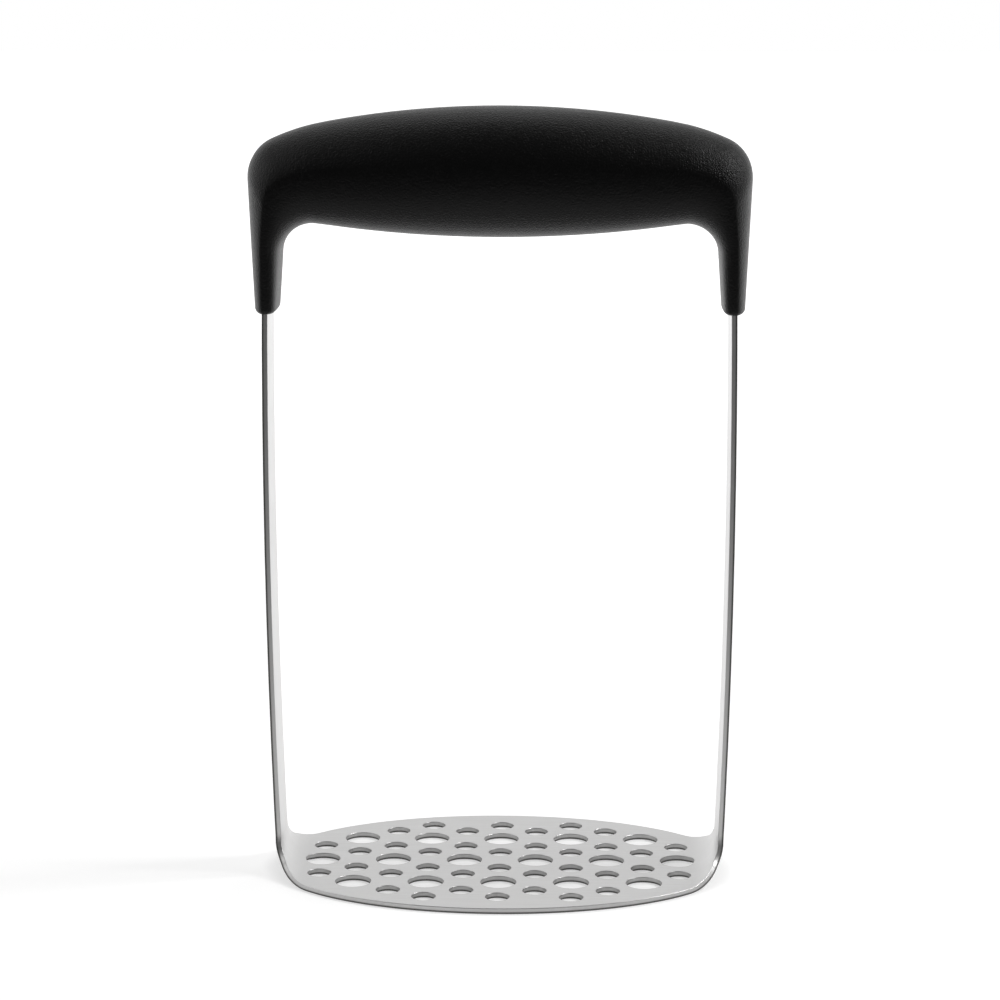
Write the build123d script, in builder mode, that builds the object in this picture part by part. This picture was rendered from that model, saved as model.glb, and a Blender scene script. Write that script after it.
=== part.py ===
from build123d import *
from math import asin, cos, degrees, pi, sin
import os

# A potato masher: one bent sheet blade whose two straps stand in the legs of a moulded handle.
# Millimetres. +X runs along the grip, +Z is up, and the origin is on the ground under the plate's centre.

# The whole masher: its height, and the span over the outsides of the handle's legs at their lower ends
overall_height = 193.35
handle_span = 120.7

# Handle in front view: the crown over the grip, the belly under it and the two legs
grip_thickness = 32.0
shoulder_overhang = 1.73
shoulder_drop = 11.35
crown_radius = 235.0
crown_end_share = 0.347
corner_radius = 10.2
leg_root_inset = 7.3
leg_root_rise = 4.7
leg_root_radius = 8.0
leg_length = 23.05
leg_bottom_thickness = 5.57
leg_bottom_edge_radius = 1.0
grip_length = handle_span + 2 * shoulder_overhang
grip_bottom_height = overall_height - grip_thickness
leg_root_span = handle_span - 2 * leg_root_inset
leg_root_height = grip_bottom_height + leg_root_rise
leg_bottom_height = leg_root_height - leg_length

# Handle from front to back
grip_depth = 34.0
leg_bottom_depth = 18.5

# Blade: a perforated oval plate and two straps, stamped and bent from one stainless sheet
sheet = 1.5
plate_depth = 75.0
plate_overhang = 2.2
strap_width = 16.0
strap_end_radius = 3.0
strap_bow = 0.3
strap_middle_share = 0.665
strap_lean = 1.75
strap_reach = 5.95
bend_radius = 9.0
neck_radius = 8.0
neck_sections = 12
burr_radius = 0.25
leg_outer_wall = 2.2
strap_entry_span = handle_span - 2 * leg_outer_wall
strap_middle_span = strap_entry_span + 2 * strap_bow
strap_foot_span = strap_entry_span - 2 * strap_lean
strap_top_height = leg_root_height + strap_reach
plate_length = strap_foot_span + 2 * plate_overhang

# Holes of the plate: rows of one size each, every row half a pitch aside of the next one
large_hole_diameter = 9.0
small_hole_diameter = 6.0
hole_pitch_share = 0.1553
large_row_step_share = 0.084
small_row_step_share = 0.0647
hole_pitch = plate_length * hole_pitch_share
row_step_at_large = plate_depth * large_row_step_share
row_step_at_small = plate_depth * small_row_step_share

# Inside the handle: rubber skin, hollow core in two shells, strap pins
grip_skin = 2.2
leg_skin = 0.9
leg_rubber_length = 10.0
core_wall = 2.6
shell_split_rise = 6.0
cavity_end_block = 13.7
rib = 1.8
rib_spacing_share = 0.275
pin_diameter = 3.0
pin_length = 5.0
moulded_gap = 0.05
strap_end_gap = 0.5
overrun = 5.0
core_leg_height = leg_bottom_height + leg_rubber_length
shell_split_height = strap_top_height + shell_split_rise
cavity_length = leg_root_span - 2 * cavity_end_block
rib_spacing = cavity_length * rib_spacing_share
pin_height = leg_root_height

# Roundness of the handle's sections, as shares of a quarter's width and height: 0.55 is an ellipse
middle_round_share = 0.62
leg_outer_round_share = 0.68
leg_inner_round_share = 0.86
middle_widest_share = 0.5
leg_widest_share = 0.42

# Sections of the handle: along the grip, round the leg's root and down the leg, past its end by a run-out
grip_stations = 8
root_stations = 14
leg_stations = 7
leg_run_out = 6.0

# Outside of the bent sheet in front view, from the plate's middle up to the strap's end in the handle
foot = (strap_foot_span / 2, 0)
strap_entry = (strap_entry_span / 2, leg_bottom_height)
strap_entry_length = strap_top_height - leg_bottom_height
with BuildLine() as strap_line:
    Line((0, 0), foot)
    bow = ThreePointArc(foot, (strap_middle_span / 2, leg_bottom_height * strap_middle_share), strap_entry)
    PolarLine(bow @ 1, strap_entry_length, direction=bow % 1)
    fillet(strap_line.vertices().sort_by_distance(foot)[0], bend_radius)
strap_rise = bow % 1
sheet_outline = strap_line.wire().offset_2d(sheet, side=Side.LEFT, closed=True)

# The sheet's neutral line runs down from the strap's end to the plate's middle
neutral_line = strap_line.wire().offset_2d(sheet / 2, side=Side.LEFT, closed=False)
flat_half = strap_line.edges().sort_by(Axis.Y)[0].length
bend_length = neutral_line.edges().filter_by(GeomType.CIRCLE).sort_by(SortBy.LENGTH)[0].length


def stood_up(point):
    """A point or direction of the front view, (x, height), in space."""
    return Vector(point.X, 0, point.Y)


def sheet_plane(distance):
    """The plane across the bent sheet at a distance along it from the plate's middle."""
    along = neutral_line.length - distance
    origin = neutral_line.position_at(along, position_mode=PositionMode.LENGTH)
    direction = neutral_line.tangent_at(along, position_mode=PositionMode.LENGTH)
    return Plane(stood_up(origin), x_dir=(0, 1, 0), z_dir=-stood_up(direction))


# The stamped blank before bending: the oval plate, the straps and the concave necks between them
with BuildPart() as flat_blank:
    with BuildSketch():
        Ellipse(plate_length / 2, plate_depth / 2)
        Rectangle(2 * neutral_line.length, strap_width)
    extrude(amount=sheet)
    necks = flat_blank.edges().filter_by(Axis.Z).group_by(SortBy.DISTANCE)[0]
    fillet(necks, neck_radius)
blank_edge = flat_blank.faces().sort_by(Axis.Z)[0].outer_wire()


def blank_width(distance):
    """The blank's width at a distance from its middle."""
    across = Edge.make_line((distance, 0), (distance, plate_depth))
    return 2 * (blank_edge & across).vertices()[0].Y


# Everything inside the blank's outline once it is bent: the plate's half, the neck round the bend, the strap
neck_length = bend_length + neck_radius / 2
with BuildPart() as bent_outline:
    for section in range(neck_sections + 1):
        distance = flat_half + neck_length * section / neck_sections
        with BuildSketch(sheet_plane(distance)):
            Rectangle(blank_width(distance), bend_radius)
    loft()
    with BuildSketch(Plane.YZ.offset(flat_half)) as strap_face:
        with Locations((0, (bend_radius + strap_top_height) / 2)):
            Rectangle(strap_width, strap_top_height - bend_radius)
        fillet(strap_face.vertices().group_by(Axis.Z)[-1], strap_end_radius)
    extrude(amount=plate_length / 2 - flat_half)
    with BuildSketch():
        Ellipse(plate_length / 2, plate_depth / 2)
        with Locations((flat_half / 2, 0)):
            Rectangle(flat_half, plate_depth, mode=Mode.INTERSECT)
    extrude(amount=sheet)

# Rows of holes from the plate's middle outwards; each but the first one stands on both sides
row_steps = (0, row_step_at_large, row_step_at_small, row_step_at_large, row_step_at_large, row_step_at_small)
row_places = [sum(row_steps[: row + 1]) for row in range(len(row_steps))]
row_counts = (6, 5, 6, 5, 4, 3)
row_diameters = (large_hole_diameter, small_hole_diameter, small_hole_diameter) * 2

with BuildPart() as masher_blade:
    with BuildSketch(Plane.XZ):
        with BuildLine():
            add(sheet_outline)
        make_face()
    extrude(amount=plate_depth / 2, both=True)
    add(bent_outline.part, mode=Mode.INTERSECT)
    mirror(about=Plane.YZ)
    with BuildSketch():
        for place, count, diameter in zip(row_places, row_counts, row_diameters):
            for row in {place, -place}:
                with Locations((0, row)):
                    with GridLocations(hole_pitch, 0, count, 1):
                        Circle(diameter / 2)
    extrude(amount=overrun, both=True, mode=Mode.SUBTRACT)
    fillet(masher_blade.edges().filter_by(lambda edge: edge.is_closed), burr_radius)
    with BuildSketch(Plane.YZ):
        with Locations((0, pin_height)):
            Circle(pin_diameter / 2 + moulded_gap)
    extrude(amount=grip_length / 2, both=True, mode=Mode.SUBTRACT)
masher_blade.part.label = "masher_blade"

# The handle in front view, right half: crown, shoulder and leg outside, belly and leg inside
shoulder = (grip_length / 2, overall_height - shoulder_drop)
crown_sweep = degrees(asin(grip_length * crown_end_share / crown_radius))
with BuildLine() as outer_guide:
    crown = JernArc((0, overall_height), (1, 0), crown_radius, -crown_sweep)
    TangentArc(crown @ 1, shoulder, tangent=crown % 1)
    leg_outside = Line(shoulder, (handle_span / 2, leg_bottom_height))
    PolarLine(leg_outside @ 1, 2 * leg_run_out, direction=leg_outside % 1)
    fillet(outer_guide.vertices().sort_by_distance(shoulder)[0], corner_radius)
root = (leg_root_span / 2, leg_root_height)
with BuildLine() as inner_guide:
    TangentArc((0, grip_bottom_height), root, tangent=(1, 0))
    leg_inside = Line(root, (handle_span / 2 - leg_bottom_thickness, leg_bottom_height))
    PolarLine(leg_inside @ 1, 2 * leg_run_out, direction=leg_inside % 1)
    fillet(inner_guide.vertices().sort_by_distance(root)[0], leg_root_radius)

# Each section of the handle stands on a ray that leaves the hand gap and crosses both guides
root_centre = Vector(leg_root_span / 2 - leg_root_radius, leg_root_height - leg_root_radius)
leg_reach = root_centre.Y - leg_bottom_height + leg_run_out
rays = []
for station in range(grip_stations):
    rays.append((Vector(root_centre.X * station / grip_stations, root_centre.Y), Vector(0, 1)))
for station in range(root_stations):
    turn = pi / 2 * (1 - station / root_stations)
    rays.append((root_centre, Vector(cos(turn), sin(turn))))
for station in range(leg_stations + 1):
    rays.append((root_centre - Vector(0, leg_reach * station / leg_stations), Vector(1, 0)))


def crossing(guide, ray):
    """Where a ray meets a guide."""
    start, direction = ray
    reach = Edge.make_line(start, start + direction * grip_length)
    return Vector(*(guide.wire() & reach).vertices()[0])


# Each ray's inner and outer end, and its progress from 0 at the grip's middle to 1 at the leg's bottom
ends = [(crossing(inner_guide, ray), crossing(outer_guide, ray)) for ray in rays]
passed = [0]
for before, after in zip(ends, ends[1:]):
    passed.append(passed[-1] + (sum(after, Vector()) - sum(before, Vector())).length / 2)
half_stations = [(*pair, length / (passed[-1] - leg_run_out)) for pair, length in zip(ends, passed)]
stations = [(1, *station) for station in reversed(half_stations)] + [(-1, *station) for station in half_stations[1:]]


def blend(middle, leg, progress):
    """A value that passes smoothly from the grip's middle to the leg's bottom."""
    return leg + (middle - leg) * cos(progress * pi / 2)


def section(side, inner, outer, progress, middle_inset, leg_inset):
    """One section of the handle, set in by a skin or a wall: four quarters, flat where they meet."""
    inset = blend(middle_inset, leg_inset, progress)
    across = Vector(side * (outer - inner).X, 0, (outer - inner).Y).normalized()
    start = Vector(side * inner.X, 0, inner.Y) + across * inset
    thickness = (outer - inner).length - 2 * inset
    widest = thickness * blend(middle_widest_share, leg_widest_share, progress)
    inner_share = blend(middle_round_share, leg_inner_round_share, progress)
    outer_share = blend(middle_round_share, leg_outer_round_share, progress)
    inner_start = widest * (1 - inner_share)
    outer_end = widest + (thickness - widest) * outer_share
    brow = blend(grip_depth, leg_bottom_depth, progress) / 2 - inset
    inner_quarter = Bezier((0, 0), (0, brow * inner_share), (inner_start, brow), (widest, brow))
    outer_quarter = Bezier((widest, brow), (outer_end, brow), (thickness, brow * outer_share), (thickness, 0))
    front = [inner_quarter, outer_quarter]
    back = [quarter.mirror(Plane.XZ) for quarter in front]
    return Plane(start, x_dir=across, z_dir=across.cross(Vector(0, 1, 0))) * Face(Wire(front + back))


def handle_form(leg_end, middle_inset, leg_inset):
    """The handle's body with its surface set in by a skin or a wall and its legs ending at a height."""
    sections = [section(*station, middle_inset, leg_inset) for station in stations]
    with BuildPart() as form:
        loft(sections)
        with BuildSketch(Plane.XY.offset(leg_end)):
            Rectangle(2 * grip_length, grip_length)
        extrude(amount=-grip_length, mode=Mode.SUBTRACT)
    return form.part


grip_form = handle_form(leg_bottom_height, 0, 0)
grip_hollow = handle_form(core_leg_height, grip_skin - moulded_gap, leg_skin - moulded_gap)
core_form = handle_form(core_leg_height, grip_skin, leg_skin)
core_hollow = handle_form(core_leg_height, grip_skin + core_wall, leg_skin)

# The slot that each strap stands in, along the strap's straight upper end
strap_end_plane = Plane(stood_up(bow @ 1), x_dir=(0, 1, 0), z_dir=stood_up(strap_rise))
with BuildPart() as strap_slots:
    with BuildSketch(strap_end_plane.offset(-overrun)):
        with Locations((0, sheet / 2)):
            Rectangle(strap_width + 2 * moulded_gap, sheet + 2 * moulded_gap)
    extrude(amount=overrun + strap_entry_length + strap_end_gap)
    mirror(about=Plane.YZ)

# Strap pins: plain steel pins pressed from outside through the core's leg and the strap
pin_start = bow @ 1 + strap_rise * ((pin_height - leg_bottom_height) / strap_rise.Y)
pin_plane = Plane.YZ.offset(pin_start.X - (sheet + pin_length) / 2)
with BuildPart() as strap_pin_right:
    with BuildSketch(pin_plane):
        with Locations((0, pin_height)):
            Circle(pin_diameter / 2)
    extrude(amount=pin_length)
strap_pin_right.part.label = "strap_pin_right"

with BuildPart() as strap_pin_left:
    add(mirror(strap_pin_right.part, about=Plane.YZ))
strap_pin_left.part.label = "strap_pin_left"

with BuildPart() as pin_bores:
    with BuildSketch(pin_plane.offset(-moulded_gap)):
        with Locations((0, pin_height)):
            Circle(pin_diameter / 2 + moulded_gap)
    extrude(amount=pin_length + overrun)
    mirror(about=Plane.YZ)

# The handle's core: a lower shell that holds the straps and a cap over it, hollow and ribbed over the grip
with BuildPart() as core_cavity:
    add(core_hollow)
    with BuildSketch():
        Rectangle(cavity_length, grip_depth)
    extrude(amount=overall_height, mode=Mode.INTERSECT)
    with BuildSketch():
        with GridLocations(rib_spacing, 0, 3, 1):
            Rectangle(rib, grip_depth)
    extrude(amount=overall_height, mode=Mode.SUBTRACT)

with BuildPart() as handle_core_lower:
    add(core_form)
    with BuildSketch(Plane.XY.offset(shell_split_height)):
        Rectangle(grip_length, grip_depth)
    extrude(amount=overall_height, mode=Mode.SUBTRACT)
    add(core_cavity.part, mode=Mode.SUBTRACT)
    add(strap_slots.part, mode=Mode.SUBTRACT)
    add(pin_bores.part, mode=Mode.SUBTRACT)
handle_core_lower.part.label = "handle_core_lower"

with BuildPart() as handle_core_upper:
    add(core_form)
    with BuildSketch(Plane.XY.offset(shell_split_height)):
        Rectangle(grip_length, grip_depth)
    extrude(amount=-overall_height, mode=Mode.SUBTRACT)
    add(core_cavity.part, mode=Mode.SUBTRACT)
handle_core_upper.part.label = "handle_core_upper"

# Soft grip: rubber moulded over the core, solid round the straps at the legs' ends
with BuildPart() as soft_grip:
    add(grip_form)
    leg_ends = soft_grip.faces().filter_by(Axis.Z)
    fillet(leg_ends.edges(), leg_bottom_edge_radius)
    add(grip_hollow, mode=Mode.SUBTRACT)
    add(strap_slots.part, mode=Mode.SUBTRACT)
soft_grip.part.label = "soft_grip"

os.makedirs("parts", exist_ok=True)
export_step(masher_blade.part, "parts/masher_blade.step")
export_step(handle_core_lower.part, "parts/handle_core_lower.step")
export_step(handle_core_upper.part, "parts/handle_core_upper.step")
export_step(strap_pin_left.part, "parts/strap_pin_left.step")
export_step(strap_pin_right.part, "parts/strap_pin_right.step")
export_step(soft_grip.part, "parts/soft_grip.step")
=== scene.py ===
from math import cos, pi, radians, sin

import bmesh
import bpy
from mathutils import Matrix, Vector, geometry


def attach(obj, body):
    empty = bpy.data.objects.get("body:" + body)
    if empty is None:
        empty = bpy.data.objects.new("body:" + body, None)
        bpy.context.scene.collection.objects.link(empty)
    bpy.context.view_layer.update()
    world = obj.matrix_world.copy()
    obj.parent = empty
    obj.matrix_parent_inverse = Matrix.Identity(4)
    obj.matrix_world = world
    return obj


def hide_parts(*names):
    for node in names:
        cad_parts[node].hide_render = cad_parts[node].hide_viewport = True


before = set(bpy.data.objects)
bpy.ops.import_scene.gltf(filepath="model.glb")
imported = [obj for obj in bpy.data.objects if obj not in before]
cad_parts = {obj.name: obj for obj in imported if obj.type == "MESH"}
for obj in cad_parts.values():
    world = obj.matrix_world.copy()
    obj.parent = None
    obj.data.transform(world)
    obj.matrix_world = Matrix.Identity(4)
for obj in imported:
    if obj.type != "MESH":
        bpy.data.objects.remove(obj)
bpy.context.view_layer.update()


# The photograph's set: a camera a little over the handle, a wide white sweep, and soft light from
# above and from both sides, with the room behind the camera dark. Metres and degrees.
camera_place = (0.01575, -0.687, 0.2297)
camera_down = 11.053
camera_left = 1.311
camera_reach = 50
lens_mm = 100.8
sweep_width = 12.0
sweep_white = "#D7D7D7"
sweep_glow = (0.53, 1.0)
sweep_glow_reach = (0.3, 1.5)
plate_footprint = (0.0586, 0.0375)
# the glow's share inside the plate's footprint: painted shade under the plate
glow_in_plate_shade = 0.75
footprint_edge = (0.97, 1.05)  # in half lengths and half depths of the plate
dark_front_reach = (-0.08, -0.4)
room_dark = 0.12
room_bright = 1.0
wall_turn = (-0.9, 0.3)  # the walls brighten while a direction turns from the front to the back
ceiling = 0.2
ceiling_rise = (0.3, 0.6)  # and the ceiling takes over while it rises
lamp_target = Vector((0, 0, 0.1))


def linear(hex_colour):
    """An sRGB hex colour as the linear RGBA that the shaders take."""
    parts = [int(hex_colour[i : i + 2], 16) / 255 for i in (1, 3, 5)]
    bent = [part / 12.92 if part <= 0.04045 else ((part + 0.055) / 1.055) ** 2.4 for part in parts]
    return (*bent, 1.0)


def add_node(tree, kind, settings=None, inputs=None):
    """A node with its settings, and its inputs set to a value or linked from another node's socket."""
    new = tree.nodes.new(kind)
    for name, value in (settings or {}).items():
        setattr(new, name, value)
    for name, value in (inputs or {}).items():
        if isinstance(value, bpy.types.NodeSocket):
            tree.links.new(value, new.inputs[name])
        else:
            new.inputs[name].default_value = value
    return new


def product(tree, one, other):
    """A node that multiplies two values."""
    return add_node(tree, "ShaderNodeMath", {"operation": "MULTIPLY"}, {0: one, 1: other})


def smooth_step(tree, value, reach, first=0.0, last=1.0):
    """A node that goes smoothly from the first result to the last while a value crosses its reach."""
    return add_node(
        tree,
        "ShaderNodeMapRange",
        {"interpolation_type": "SMOOTHSTEP"},
        {"Value": value, "From Min": reach[0], "From Max": reach[1], "To Min": first, "To Max": last},
    )


def new_material(name):
    """An empty node material and its tree."""
    material = bpy.data.materials.new(name)
    material.use_nodes = True
    material.node_tree.nodes.clear()
    return material, material.node_tree


camera_data = bpy.data.cameras.new("camera")
camera_data.lens = lens_mm
camera_data.clip_end = camera_reach
camera = bpy.data.objects.new("camera", camera_data)
camera.location = camera_place
camera.rotation_euler = (radians(90 - camera_down), 0, radians(camera_left))
bpy.context.scene.collection.objects.link(camera)
bpy.context.scene.camera = camera
bpy.context.scene.view_settings.view_transform = "Standard"

bpy.ops.mesh.primitive_plane_add(size=sweep_width, location=(0, 0, 0))
sweep = bpy.context.object
sweep.name = "white_sweep"

# White paper, evenly matt. The camera and mirror images see it glow as overexposed paper does, less
# where the plate stands on it, which is painted shade under the plate, and mirror images find it dark
# in front, as the room is there.
sweep_paper, tree = new_material("white_paper_sweep")
path = add_node(tree, "ShaderNodeLightPath")
seen = add_node(
    tree,
    "ShaderNodeMath",
    {"operation": "MAXIMUM"},
    {0: path.outputs["Is Camera Ray"], 1: path.outputs["Is Glossy Ray"]},
)
place = add_node(tree, "ShaderNodeTexCoord")
away = add_node(
    tree, "ShaderNodeVectorMath", {"operation": "LENGTH"}, {0: place.outputs["Object"]}
)
fill = smooth_step(tree, away.outputs["Value"], sweep_glow_reach, *sweep_glow)
footprint_scale = (1 / plate_footprint[0], 1 / plate_footprint[1], 1)
footprint = add_node(
    tree,
    "ShaderNodeMapping",
    inputs={"Vector": place.outputs["Object"], "Scale": footprint_scale},
)
from_middle = add_node(
    tree, "ShaderNodeVectorMath", {"operation": "LENGTH"}, {0: footprint.outputs[0]}
)
# Painted shade: the floor's glow drops inside the plate's footprint
painted_plate_shade = smooth_step(tree, from_middle.outputs["Value"], footprint_edge, glow_in_plate_shade)
floor_glow = product(tree, fill.outputs[0], painted_plate_shade.outputs[0])
glow = product(tree, seen.outputs[0], floor_glow.outputs[0])
paper = add_node(tree, "ShaderNodeBsdfDiffuse", inputs={"Color": linear(sweep_white)})
white = add_node(tree, "ShaderNodeEmission", inputs={"Strength": glow.outputs[0]})
both = add_node(tree, "ShaderNodeAddShader", inputs={0: paper.outputs[0], 1: white.outputs[0]})
axes = add_node(tree, "ShaderNodeSeparateXYZ", inputs={0: place.outputs["Object"]})
front = smooth_step(tree, axes.outputs["Y"], dark_front_reach)
mirrored = product(tree, path.outputs["Is Glossy Ray"], front.outputs[0])
dark = add_node(tree, "ShaderNodeEmission", inputs={"Strength": room_dark})
floor = add_node(
    tree,
    "ShaderNodeMixShader",
    inputs={0: mirrored.outputs[0], 1: both.outputs[0], 2: dark.outputs[0]},
)
add_node(tree, "ShaderNodeOutputMaterial", inputs={"Surface": floor.outputs[0]})
sweep.data.materials.append(sweep_paper)

# The room: white to the camera, bright behind the object and at its sides, dark behind the camera
world = bpy.data.worlds.new("studio")
bpy.context.scene.world = world
world.use_nodes = True
tree = world.node_tree
tree.nodes.clear()
direction = add_node(tree, "ShaderNodeTexCoord")
split = add_node(tree, "ShaderNodeSeparateXYZ", inputs={0: direction.outputs["Generated"]})
walls = smooth_step(tree, split.outputs["Y"], wall_turn, room_dark, room_bright)
room_light = smooth_step(tree, split.outputs["Z"], ceiling_rise, walls.outputs[0], ceiling)
path = add_node(tree, "ShaderNodeLightPath")
room = add_node(
    tree,
    "ShaderNodeBackground",
    inputs={"Color": linear("#FFFFFF"), "Strength": room_light.outputs[0]},
)
backdrop = add_node(tree, "ShaderNodeBackground", inputs={"Color": linear("#FFFFFF")})
mixed = add_node(
    tree,
    "ShaderNodeMixShader",
    inputs={0: path.outputs["Is Camera Ray"], 1: room.outputs[0], 2: backdrop.outputs[0]},
)
add_node(tree, "ShaderNodeOutputWorld", inputs={"Surface": mixed.outputs[0]})

for name, place, size, power in (
    ("top_softbox", (0.0, 0.85, 1.45), 1.4, 6.0),
    ("left_softbox", (-1.1, 0.0, 1.0), 1.0, 4.0),
    ("right_softbox", (1.0, 0.1, 1.05), 0.5, 8.5),
):
    light = bpy.data.lights.new(name, "AREA")
    light.size = size
    light.energy = power
    lamp = bpy.data.objects.new(name, light)
    lamp.location = place
    lamp.rotation_euler = (lamp_target - Vector(place)).to_track_quat("-Z", "Y").to_euler()
    bpy.context.scene.collection.objects.link(lamp)


# Masher blade: one piece of 1.5 mm stainless sheet. The oval plate is punched with rows of round
# mash holes, the edges are tumbled, and a strap at each end is bent up round a 9 mm radius.
sheet = 0.0015
plate_half_length = 0.0586
plate_half_depth = 0.0375
plate_sides = 256
strap_half_width = 0.008
strap_end_radius = 0.003
strap_corner_segments = 8
blank_half_length = 0.22371
neck_radius = 0.008
neck_place = (0.06245, 0.01597)
neck_half_width = 0.01221
neck_sides = 96
hole_pitch = 0.0182
row_gap_at_large = 0.0063
row_gap_at_small = 0.00485
large_hole = (0.0045, 48)
small_hole = (0.003, 40)
punch_length = 4 * sheet
flat_angle = 0.1  # faces that meet flatter than this, in degrees, are made one
edge_round = 0.0002
edge_segments = 3
edge_angle = 40
bend_start = 0.04774
bend_length = 0.01266
bend_turn = 87.9
bend_folds = 16
bow_length = 0.1344
bow_turn = 3.0
bow_folds = 8
fold_margin = 1e-6
lifted_margin = 1e-5
smooth_angle = 35
brushed_colours = ("#CDCCCB", "#DBDBDB")
brush_scale = (60, 2500, 1)
brush_relief = (0.15, 0.00005)
patch_scale = 90.0
satin_roughness = (0.3, 0.38)
# Cut faces darken towards the sheet's bottom: partly duller torn steel, partly painted shade at the
# sheet's foot
cut_and_shade_colour = "#403F3D"
cut_roughness = 0.6
torn_and_shade_band = (0.5, 0.15)  # from where it starts to where it is full, in shares of the thickness
sheared_dullness = 0.3
torn_dullness_and_painted_shade = 1.0


def pick(obj, test, kind="verts"):
    """Selects only the vertices, edges or faces that pass a test, in edit mode."""
    bpy.ops.mesh.select_mode(type={"verts": "VERT", "edges": "EDGE", "faces": "FACE"}[kind])
    bpy.ops.mesh.select_all(action="DESELECT")
    shape = bmesh.from_edit_mesh(obj.data)
    for part in getattr(shape, kind):
        part.select_set(test(part))
    shape.select_flush_mode()
    bmesh.update_edit_mesh(obj.data)


def combine(target, tool, operation):
    """Joins a tool's solid to the target or cuts it out, and removes the tool."""
    bpy.ops.object.select_all(action="DESELECT")
    bpy.context.view_layer.objects.active = target
    step = target.modifiers.new("combine", "BOOLEAN")
    step.operation = operation
    step.solver = "EXACT"
    step.object = tool
    bpy.ops.object.modifier_apply(modifier=step.name)
    bpy.data.objects.remove(tool)


def block(low, high):
    """A box between two corners."""
    size = Vector(high) - Vector(low)
    bpy.ops.mesh.primitive_cube_add(size=1, location=(Vector(low) + Vector(high)) / 2)
    bpy.context.object.scale = size
    bpy.ops.object.transform_apply(location=True, rotation=True, scale=True)
    return bpy.context.object


def punch(x, y, radius, sides):
    """A round punch that stands through the flat sheet."""
    bpy.ops.mesh.primitive_cylinder_add(
        vertices=sides, radius=radius, depth=punch_length, location=(x, y, 0)
    )
    return bpy.context.object


def joined(objects):
    """Several objects made one."""
    bpy.ops.object.select_all(action="DESELECT")
    for obj in objects:
        obj.select_set(True)
    bpy.context.view_layer.objects.active = objects[0]
    bpy.ops.object.join()
    return objects[0]


def colour_mix(tree, share, first, last):
    """A node that mixes two colours."""
    return add_node(tree, "ShaderNodeMixRGB", inputs={"Fac": share, "Color1": first, "Color2": last})


def bumps(tree, height, strength, depth):
    """A node that gives the surface a fine relief."""
    return add_node(
        tree,
        "ShaderNodeBump",
        inputs={"Height": height, "Strength": strength, "Distance": depth},
    )


bpy.ops.object.select_all(action="DESELECT")
bpy.ops.mesh.primitive_cylinder_add(
    vertices=plate_sides, radius=plate_half_length, depth=sheet, location=(0, 0, sheet / 2)
)
blade = bpy.context.object
blade.name = "blade"
blade.scale[1] = plate_half_depth / plate_half_length
bpy.ops.object.transform_apply(location=True, rotation=True, scale=True)
strap_blank = block(
    (-blank_half_length, -strap_half_width, 0), (blank_half_length, strap_half_width, sheet)
)
bpy.ops.object.mode_set(mode="EDIT")
pick(
    strap_blank,
    lambda edge: abs(edge.verts[0].co.z - edge.verts[1].co.z) > sheet / 2,
    "edges",
)
bpy.ops.mesh.bevel(offset=strap_end_radius, segments=strap_corner_segments)
bpy.ops.object.mode_set(mode="OBJECT")
combine(blade, strap_blank, "UNION")
neck_blank = block((-neck_place[0], -neck_half_width, 0), (neck_place[0], neck_half_width, sheet))
combine(blade, neck_blank, "UNION")
bpy.ops.object.mode_set(mode="EDIT")
bpy.ops.mesh.select_all(action="SELECT")
bpy.ops.mesh.dissolve_limited(angle_limit=radians(flat_angle))
bpy.ops.object.mode_set(mode="OBJECT")

punches = []
for x in (-neck_place[0], neck_place[0]):
    for y in (-neck_place[1], neck_place[1]):
        punches.append(punch(x, y, neck_radius, neck_sides))
row = 0.0
for count, (radius, sides), gap in (
    (6, large_hole, 0.0),
    (5, small_hole, row_gap_at_large),
    (6, small_hole, row_gap_at_small),
    (5, large_hole, row_gap_at_large),
    (4, small_hole, row_gap_at_large),
    (3, small_hole, row_gap_at_small),
):
    row += gap
    for y in {row, -row}:
        for column in range(count):
            x = (column - (count - 1) / 2) * hole_pitch
            punches.append(punch(x, y, radius, sides))
combine(blade, joined(punches), "DIFFERENCE")
step = blade.modifiers.new("tumbled_edges", "BEVEL")
step.width = edge_round
step.segments = edge_segments
step.limit_method = "ANGLE"
step.angle_limit = radians(edge_angle)
step.use_clamp_overlap = False
bpy.ops.object.modifier_apply(modifier=step.name)


def evenly_folded(start, length, turn, count):
    """Fold lines along a stretch of the sheet: each one's place and turn."""
    return [(start + (i + 0.5) * length / count, turn / count) for i in range(count)]


# The sheet is creased at each fold line while it is flat, then folded from the straps' ends inwards
folds = evenly_folded(bend_start, bend_length, bend_turn, bend_folds)
folds += evenly_folded(bend_start + bend_length, bow_length, bow_turn, bow_folds)
bpy.ops.object.mode_set(mode="EDIT")
for place, _ in folds:
    for side in (-1, 1):
        bpy.ops.mesh.select_all(action="SELECT")
        bpy.ops.mesh.bisect(plane_co=(side * place, 0, 0), plane_no=(1, 0, 0))
bpy.ops.object.mode_set(mode="OBJECT")
flat_map = blade.data.uv_layers.new(name="flat_sheet")
cut_map = blade.data.uv_layers.new(name="cut_faces")
for face in blade.data.polygons:
    for index in face.loop_indices:
        place = blade.data.vertices[blade.data.loops[index].vertex_index].co
        flat_map.data[index].uv = (place.x, place.y)
        cut_map.data[index].uv = (1 - abs(face.normal.z), place.z / sheet)
bpy.ops.object.mode_set(mode="EDIT")
for place, turn in reversed(folds):
    for side in (-1, 1):
        pick(
            blade,
            lambda v: side * v.co.x > 0
            and (side * v.co.x > place + fold_margin or v.co.z > sheet + lifted_margin),
        )
        bpy.ops.transform.rotate(
            value=side * radians(turn),
            orient_axis="Y",
            center_override=(side * place, 0, sheet / 2),
        )
bpy.ops.object.mode_set(mode="OBJECT")
bpy.ops.object.select_all(action="DESELECT")
blade.select_set(True)
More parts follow.
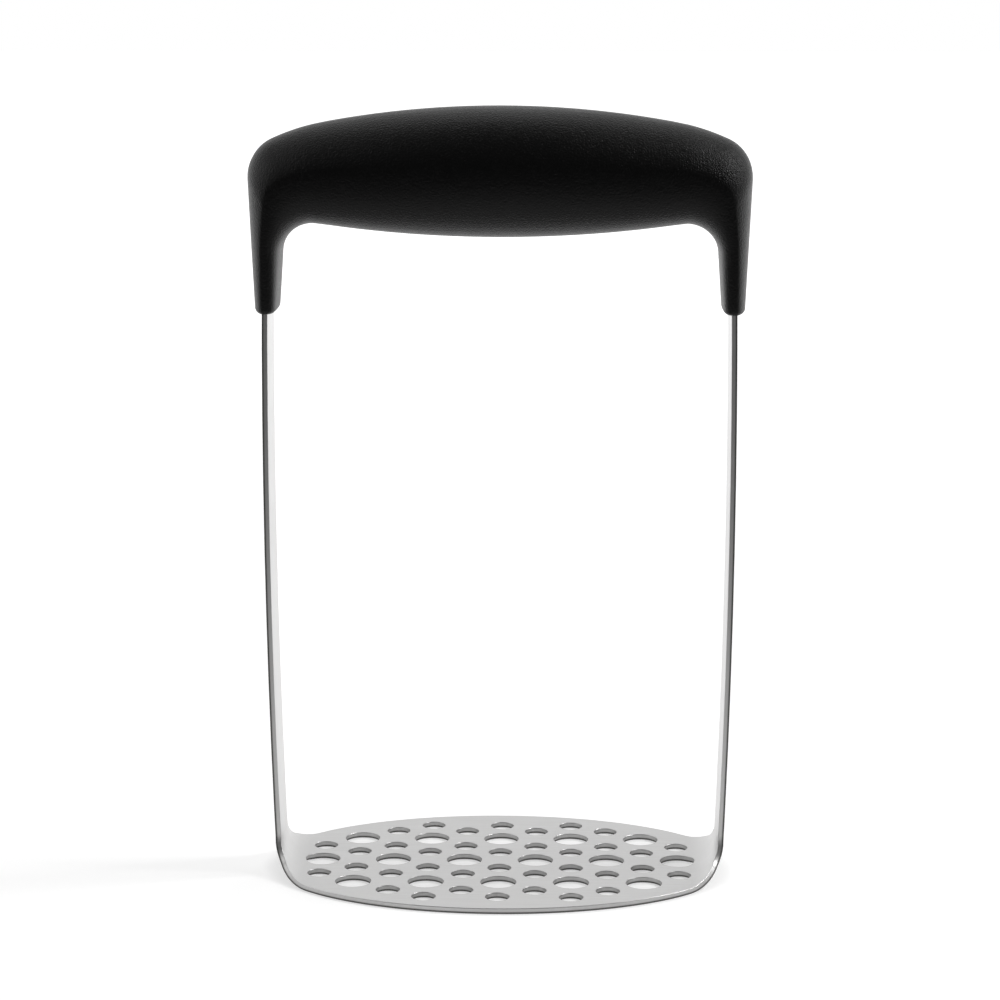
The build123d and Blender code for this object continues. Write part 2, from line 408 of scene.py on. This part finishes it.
bpy.ops.object.shade_smooth_by_angle(angle=radians(smooth_angle))
step = blade.modifiers.new("flat_faces", "WEIGHTED_NORMAL")
step.keep_sharp = True
bpy.ops.object.modifier_apply(modifier=step.name)

# Stainless steel, brushed along the sheet before it is punched: a satin grey with fine lines along
# the plate and up the straps. Real brush lines are 0.05 mm apart, too fine to show, so they are
# drawn 0.4 mm apart. Cut faces are darker: a sheared band above and a duller torn band below,
# which is darkened further with painted shade where the sheet stands on the floor.
brushed_steel, tree = new_material("brushed_stainless_steel")
flat_place = add_node(tree, "ShaderNodeUVMap", {"uv_map": "flat_sheet"})
along = add_node(
    tree, "ShaderNodeMapping", inputs={"Vector": flat_place.outputs["UV"], "Scale": brush_scale}
)
lines = add_node(
    tree,
    "ShaderNodeTexNoise",
    {"noise_dimensions": "2D"},
    {"Vector": along.outputs[0], "Scale": 1.0, "Detail": 3.0},
)
patches = add_node(
    tree,
    "ShaderNodeTexNoise",
    {"noise_dimensions": "2D"},
    {"Vector": flat_place.outputs["UV"], "Scale": patch_scale, "Detail": 2.0},
)
cut_place = add_node(tree, "ShaderNodeUVMap", {"uv_map": "cut_faces"})
cut = add_node(tree, "ShaderNodeSeparateXYZ", inputs={0: cut_place.outputs["UV"]})
# Painted shade: the torn band's full darkness also stands for the shade at the foot of the rim and the
# hole walls
torn_and_painted_shade = smooth_step(tree, cut.outputs["Y"], torn_and_shade_band, sheared_dullness, torn_dullness_and_painted_shade)
dullness_and_painted_shade = product(tree, cut.outputs["X"], torn_and_painted_shade.outputs[0])
brushed = colour_mix(
    tree, lines.outputs["Fac"], linear(brushed_colours[0]), linear(brushed_colours[1])
)
tint = colour_mix(tree, dullness_and_painted_shade.outputs[0], brushed.outputs[0], linear(cut_and_shade_colour))
satin = add_node(
    tree,
    "ShaderNodeMapRange",
    inputs={
        "Value": patches.outputs["Fac"],
        "To Min": satin_roughness[0],
        "To Max": satin_roughness[1],
    },
)
rough = add_node(
    tree,
    "ShaderNodeMapRange",
    inputs={"Value": dullness_and_painted_shade.outputs[0], "To Min": satin.outputs[0], "To Max": cut_roughness},
)
relief = bumps(tree, lines.outputs["Fac"], *brush_relief)
steel = add_node(
    tree,
    "ShaderNodeBsdfPrincipled",
    inputs={
        "Base Color": tint.outputs[0],
        "Metallic": 1.0,
        "Roughness": rough.outputs[0],
        "Normal": relief.outputs[0],
    },
)
add_node(tree, "ShaderNodeOutputMaterial", inputs={"Surface": steel.outputs[0]})
blade.data.materials.clear()
blade.data.materials.append(brushed_steel)
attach(blade, "root")
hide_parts("masher_blade")


# Handle core: two ABS mouldings, a lower shell that holds the straps and a cap over it. The rubber
# covers both, so their CAD solids stay, in the dark grey and even matt of a moulding.
abs_colours = ("#2A2A2B", "#323233")
abs_grain_scale = 2500.0
abs_relief = (0.2, 0.00003)
moulded_abs, tree = new_material("moulded_abs")
place = add_node(tree, "ShaderNodeTexCoord")
grain = add_node(
    tree,
    "ShaderNodeTexNoise",
    inputs={"Vector": place.outputs["Object"], "Scale": abs_grain_scale, "Detail": 2.0},
)
relief = bumps(tree, grain.outputs["Fac"], *abs_relief)
tint = colour_mix(tree, grain.outputs["Fac"], linear(abs_colours[0]), linear(abs_colours[1]))
plastic = add_node(
    tree,
    "ShaderNodeBsdfPrincipled",
    inputs={
        "Base Color": tint.outputs[0],
        "Roughness": 0.45,
        "IOR": 1.53,
        "Normal": relief.outputs[0],
    },
)
add_node(tree, "ShaderNodeOutputMaterial", inputs={"Surface": plastic.outputs[0]})
for name in ("handle_core_lower", "handle_core_upper"):
    for finish in bpy.data.objects[name].material_slots:
        finish.material = moulded_abs


# Strap pins: two plain steel pins, ground to size and pressed through the core's legs and the
# straps. They are CAD solids too, with the fine turns that centreless grinding leaves.
ground_colour = "#C8C8C6"
ground_scale = (9000, 600, 600)
ground_roughness = (0.2, 0.35)
ground_steel, tree = new_material("ground_steel")
place = add_node(tree, "ShaderNodeTexCoord")
turns = add_node(
    tree, "ShaderNodeMapping", inputs={"Vector": place.outputs["Object"], "Scale": ground_scale}
)
lines = add_node(
    tree, "ShaderNodeTexNoise", inputs={"Vector": turns.outputs[0], "Scale": 1.0, "Detail": 2.0}
)
rough = add_node(
    tree,
    "ShaderNodeMapRange",
    inputs={
        "Value": lines.outputs["Fac"],
        "To Min": ground_roughness[0],
        "To Max": ground_roughness[1],
    },
)
steel = add_node(
    tree,
    "ShaderNodeBsdfPrincipled",
    inputs={"Base Color": linear(ground_colour), "Metallic": 1.0, "Roughness": rough.outputs[0]},
)
add_node(tree, "ShaderNodeOutputMaterial", inputs={"Surface": steel.outputs[0]})
for name in ("strap_pin_left", "strap_pin_right"):
    for finish in bpy.data.objects[name].material_slots:
        finish.material = ground_steel


# Soft grip: black rubber moulded over the core in one piece, a fat cross bar that turns down into a
# leg over each strap. Rings are set across its crown and its underside, from the middle outwards,
# bridged and mirrored.
crown_knots = (  # x and z in mm, and the heading there
    ((0, 193.34), (1, 0)),
    ((43.084, 189.367), (0.9831, -0.1833)),
    ((55.8, 185.343), (0.9102, -0.4142)),
    ((61.745, 175.6), (-0.0437, -0.99904)),
    ((60.286, 142.0), (-0.0437, -0.99904)),
)
underside_knots = (
    ((0, 161.35), (1, 0)),
    ((44.545, 164.656), (0.989, 0.1476)),
    ((53.704, 157.342), (0.0748, -0.9972)),
    ((54.855, 142.0), (0.0748, -0.9972)),
)
knot_steps = 100
root_centre = Vector((45.726, 156.744))  # in mm, as the sizes below down to the rubber's skins
ray_reach = 100
grip_rings = 12
turn_rings = 45
core_leg_height = 153.0
leg_bottom_height = 143.0
leg_end_round = 1.1
leg_end_rings = 5
grip_depths = (34.0, 18.5)
rubber_skins = (2.15, 0.85)
shoulder_progress = 0.68  # at each of these: the middle, the shoulder, the leg's end
widest_shares = (0.52, 0.55, 0.56)
underside_rounds = (0.62, 0.75, 0.93)
crease_rounds = (0.55, 0.12, 0.28)
crown_rounds = (0.62, 0.7, 0.7)
quarter_sides = 12
ring_margin = 1e-4  # in metres, as what follows
seam_margin = 1e-5
slot_half_width = 0.00805
slot_half_thickness = 0.0008
slot_reach = (-0.003, 0.016)
strap_entry = (0.0574, 0, 0.143)
strap_lean = 0.9
rubber_colours = ("#040404", "#0A0A0A")
rubber_grain_scale = 2600.0
rubber_relief = (1.0, 0.0002)


def outline(knots):
    """Fine points along an outline that passes its knots in arcs and straights."""
    points = []
    for knot, next_knot in zip(knots, knots[1:]):
        start, heading, end, next_heading = (Vector(pair) for pair in (*knot, *next_knot))
        reach = (end - start).length * 2 / 3 / (1 + cos(heading.angle(next_heading) / 2))
        points += geometry.interpolate_bezier(
            start, start + heading * reach, end - next_heading * reach, end, knot_steps
        )
    return points


def crossing(line, start, direction):
    """Where a ray meets an outline."""
    far = start + direction * ray_reach
    stretches = [(a, b) for a, b in zip(line, line[1:]) if a != b]
    hits = (geometry.intersect_line_line_2d(start, far, a, b) for a, b in stretches)
    return next(hit for hit in hits if hit is not None)


# One ray for each ring: up through the bar, round the shoulder, then outwards down the leg. A ring
# stands where the core's leg ends and where the leg starts to round in to its own end.
crossbar_places = [root_centre.x * i / grip_rings for i in range(grip_rings)]
rays = [(Vector((place, root_centre.y)), Vector((0, 1))) for place in crossbar_places]
turns = [pi / 2 * (1 - i / turn_rings) for i in range(turn_rings + 1)]
rays += [(root_centre, Vector((cos(turn), sin(turn)))) for turn in turns]
core_drop = root_centre.y - core_leg_height
straight_drop = root_centre.y - leg_bottom_height - leg_end_round
rim = [pi / 2 * (i + 1) / leg_end_rings for i in range(leg_end_rings)]
drops = [1.3, 2.6, core_drop, 6.1, 8.3, 10.5, straight_drop]
drops += [straight_drop + leg_end_round * sin(turn) for turn in rim]
rays += [(root_centre - Vector((0, drop)), Vector((1, 0))) for drop in drops]
set_in = [0.0] * (len(rays) - len(rim)) + [leg_end_round * (1 - cos(turn)) for turn in rim]
crown = outline(crown_knots)
underside = outline(underside_knots)
ends = [(crossing(underside, *ray), crossing(crown, *ray)) for ray in rays]
passed = [0.0]
for before, after in zip(ends, ends[1:]):
    passed.append(passed[-1] + (after[0] + after[1] - before[0] - before[1]).length / 2)


def blend(values, progress):
    """A value that passes smoothly from the middle through the shoulder to the leg's end."""
    middle, shoulder, leg = values
    if progress < shoulder_progress:
        start, end, share = middle, shoulder, progress / shoulder_progress
    else:
        start, end, share = shoulder, leg, (progress - shoulder_progress) / (1 - shoulder_progress)
    return start + (end - start) * share * share * (3 - 2 * share)


def ring(under, top, progress, skins, rim_inset):
    """A ring of the handle in metres, set in by a skin: four quarters that meet flat."""
    along_leg = cos(progress * pi / 2)
    skin, depth = (leg + (middle - leg) * along_leg for middle, leg in (skins, grip_depths))
    skin += rim_inset
    across = (top - under).normalized()
    thickness = (top - under).length - 2 * skin
    widest = thickness * blend(widest_shares, progress)
    under_round = blend(underside_rounds, progress)
    crown_round = blend(crown_rounds, progress)
    brow = depth / 2 - skin
    tip = widest + (thickness - widest) * blend(crease_rounds, progress)
    quarters = (  # each knot between its two handles, as a distance across and a depth
        ((0, brow * under_round), (0, 0), (0, -brow * under_round)),
        ((widest * (1 - under_round), -brow), (widest, -brow), (tip, -brow)),
        ((thickness, -brow * crown_round), (thickness, 0), (thickness, brow * crown_round)),
        ((tip, brow), (widest, brow), (widest * (1 - under_round), brow)),
    )
    bpy.ops.curve.primitive_bezier_circle_add()
    drawn = bpy.context.object
    spline = drawn.data.splines[0]
    spline.resolution_u = quarter_sides
    for knot, places in zip(spline.bezier_points, quarters):
        knot.handle_left_type = knot.handle_right_type = "FREE"
        left, middle, right = (
            Vector((*(under + across * (skin + distance)), y)).xzy / 1000 for distance, y in places
        )
        knot.co, knot.handle_left, knot.handle_right = middle, left, right
    return drawn


def handle_shape(name, skins, leg_end):
    """The handle's whole form set in by a skin, from rings down to the legs' end, as a closed mesh."""
    rings = []
    for (under, top), length, rim_inset in zip(ends, passed, set_in):
        if top.y / 1000 > leg_end - ring_margin:
            rings.append(ring(under, top, length / passed[-1], skins, rim_inset))
    for drawn in rings:
        drawn.select_set(True)
    bpy.context.view_layer.objects.active = rings[0]
    bpy.ops.object.convert(target="MESH")
    bpy.ops.object.join()
    shape = bpy.context.object
    shape.name = name
    bpy.ops.object.mode_set(mode="EDIT")
    bpy.ops.mesh.select_all(action="SELECT")
    bpy.ops.mesh.bridge_edge_loops()
    bpy.ops.object.mode_set(mode="OBJECT")
    bpy.ops.object.transform_apply(location=True, rotation=True, scale=True)
    step = shape.modifiers.new("other_half", "MIRROR")
    step.merge_threshold = seam_margin
    bpy.ops.object.modifier_apply(modifier=step.name)
    bpy.ops.object.mode_set(mode="EDIT")
    for side in (-1, 1):
        pick(
            shape,
            lambda edge: all(
                v.co.z < leg_end + seam_margin and v.co.x * side > 0 for v in edge.verts
            ),
            "edges",
        )
        bpy.ops.mesh.edge_face_add()
    bpy.ops.mesh.select_all(action="SELECT")
    bpy.ops.mesh.normals_make_consistent(inside=False)
    bpy.ops.object.mode_set(mode="OBJECT")
    return shape


bpy.ops.object.select_all(action="DESELECT")
grip = handle_shape("grip", (0.0, 0.0), leg_bottom_height / 1000)
core_room = handle_shape("core_room", rubber_skins, core_leg_height / 1000)
combine(grip, core_room, "DIFFERENCE")
for side in (-1, 1):
    slot = block(
        (-slot_half_thickness, -slot_half_width, slot_reach[0]),
        (slot_half_thickness, slot_half_width, slot_reach[1]),
    )
    slot.location = Vector((side * strap_entry[0], 0, strap_entry[2]))
    slot.rotation_euler = (0, -side * radians(strap_lean), 0)
    bpy.ops.object.transform_apply(location=True, rotation=True, scale=True)
    combine(grip, slot, "DIFFERENCE")
bpy.ops.object.select_all(action="DESELECT")
grip.select_set(True)
bpy.context.view_layer.objects.active = grip
bpy.ops.object.shade_smooth_by_angle(angle=radians(smooth_angle))

# Soft rubber, moulded in a fine spark-eroded tool: black, with a faint grain that breaks up the
# light. The real grain is about 0.1 mm, drawn at 0.4 mm so that it shows.
moulded_rubber, tree = new_material("moulded_soft_rubber")
place = add_node(tree, "ShaderNodeTexCoord")
grain = add_node(
    tree,
    "ShaderNodeTexNoise",
    inputs={"Vector": place.outputs["Object"], "Scale": rubber_grain_scale, "Detail": 1.0},
)
relief = bumps(tree, grain.outputs["Fac"], *rubber_relief)
tint = colour_mix(
    tree, grain.outputs["Fac"], linear(rubber_colours[0]), linear(rubber_colours[1])
)
rubber = add_node(
    tree,
    "ShaderNodeBsdfPrincipled",
    inputs={
        "Base Color": tint.outputs[0],
        "Roughness": 0.34,
        "IOR": 1.5,
        "Specular IOR Level": 0.15,
        "Normal": relief.outputs[0],
    },
)
add_node(tree, "ShaderNodeOutputMaterial", inputs={"Surface": rubber.outputs[0]})
grip.data.materials.clear()
grip.data.materials.append(moulded_rubber)
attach(grip, "root")
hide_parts("soft_grip")
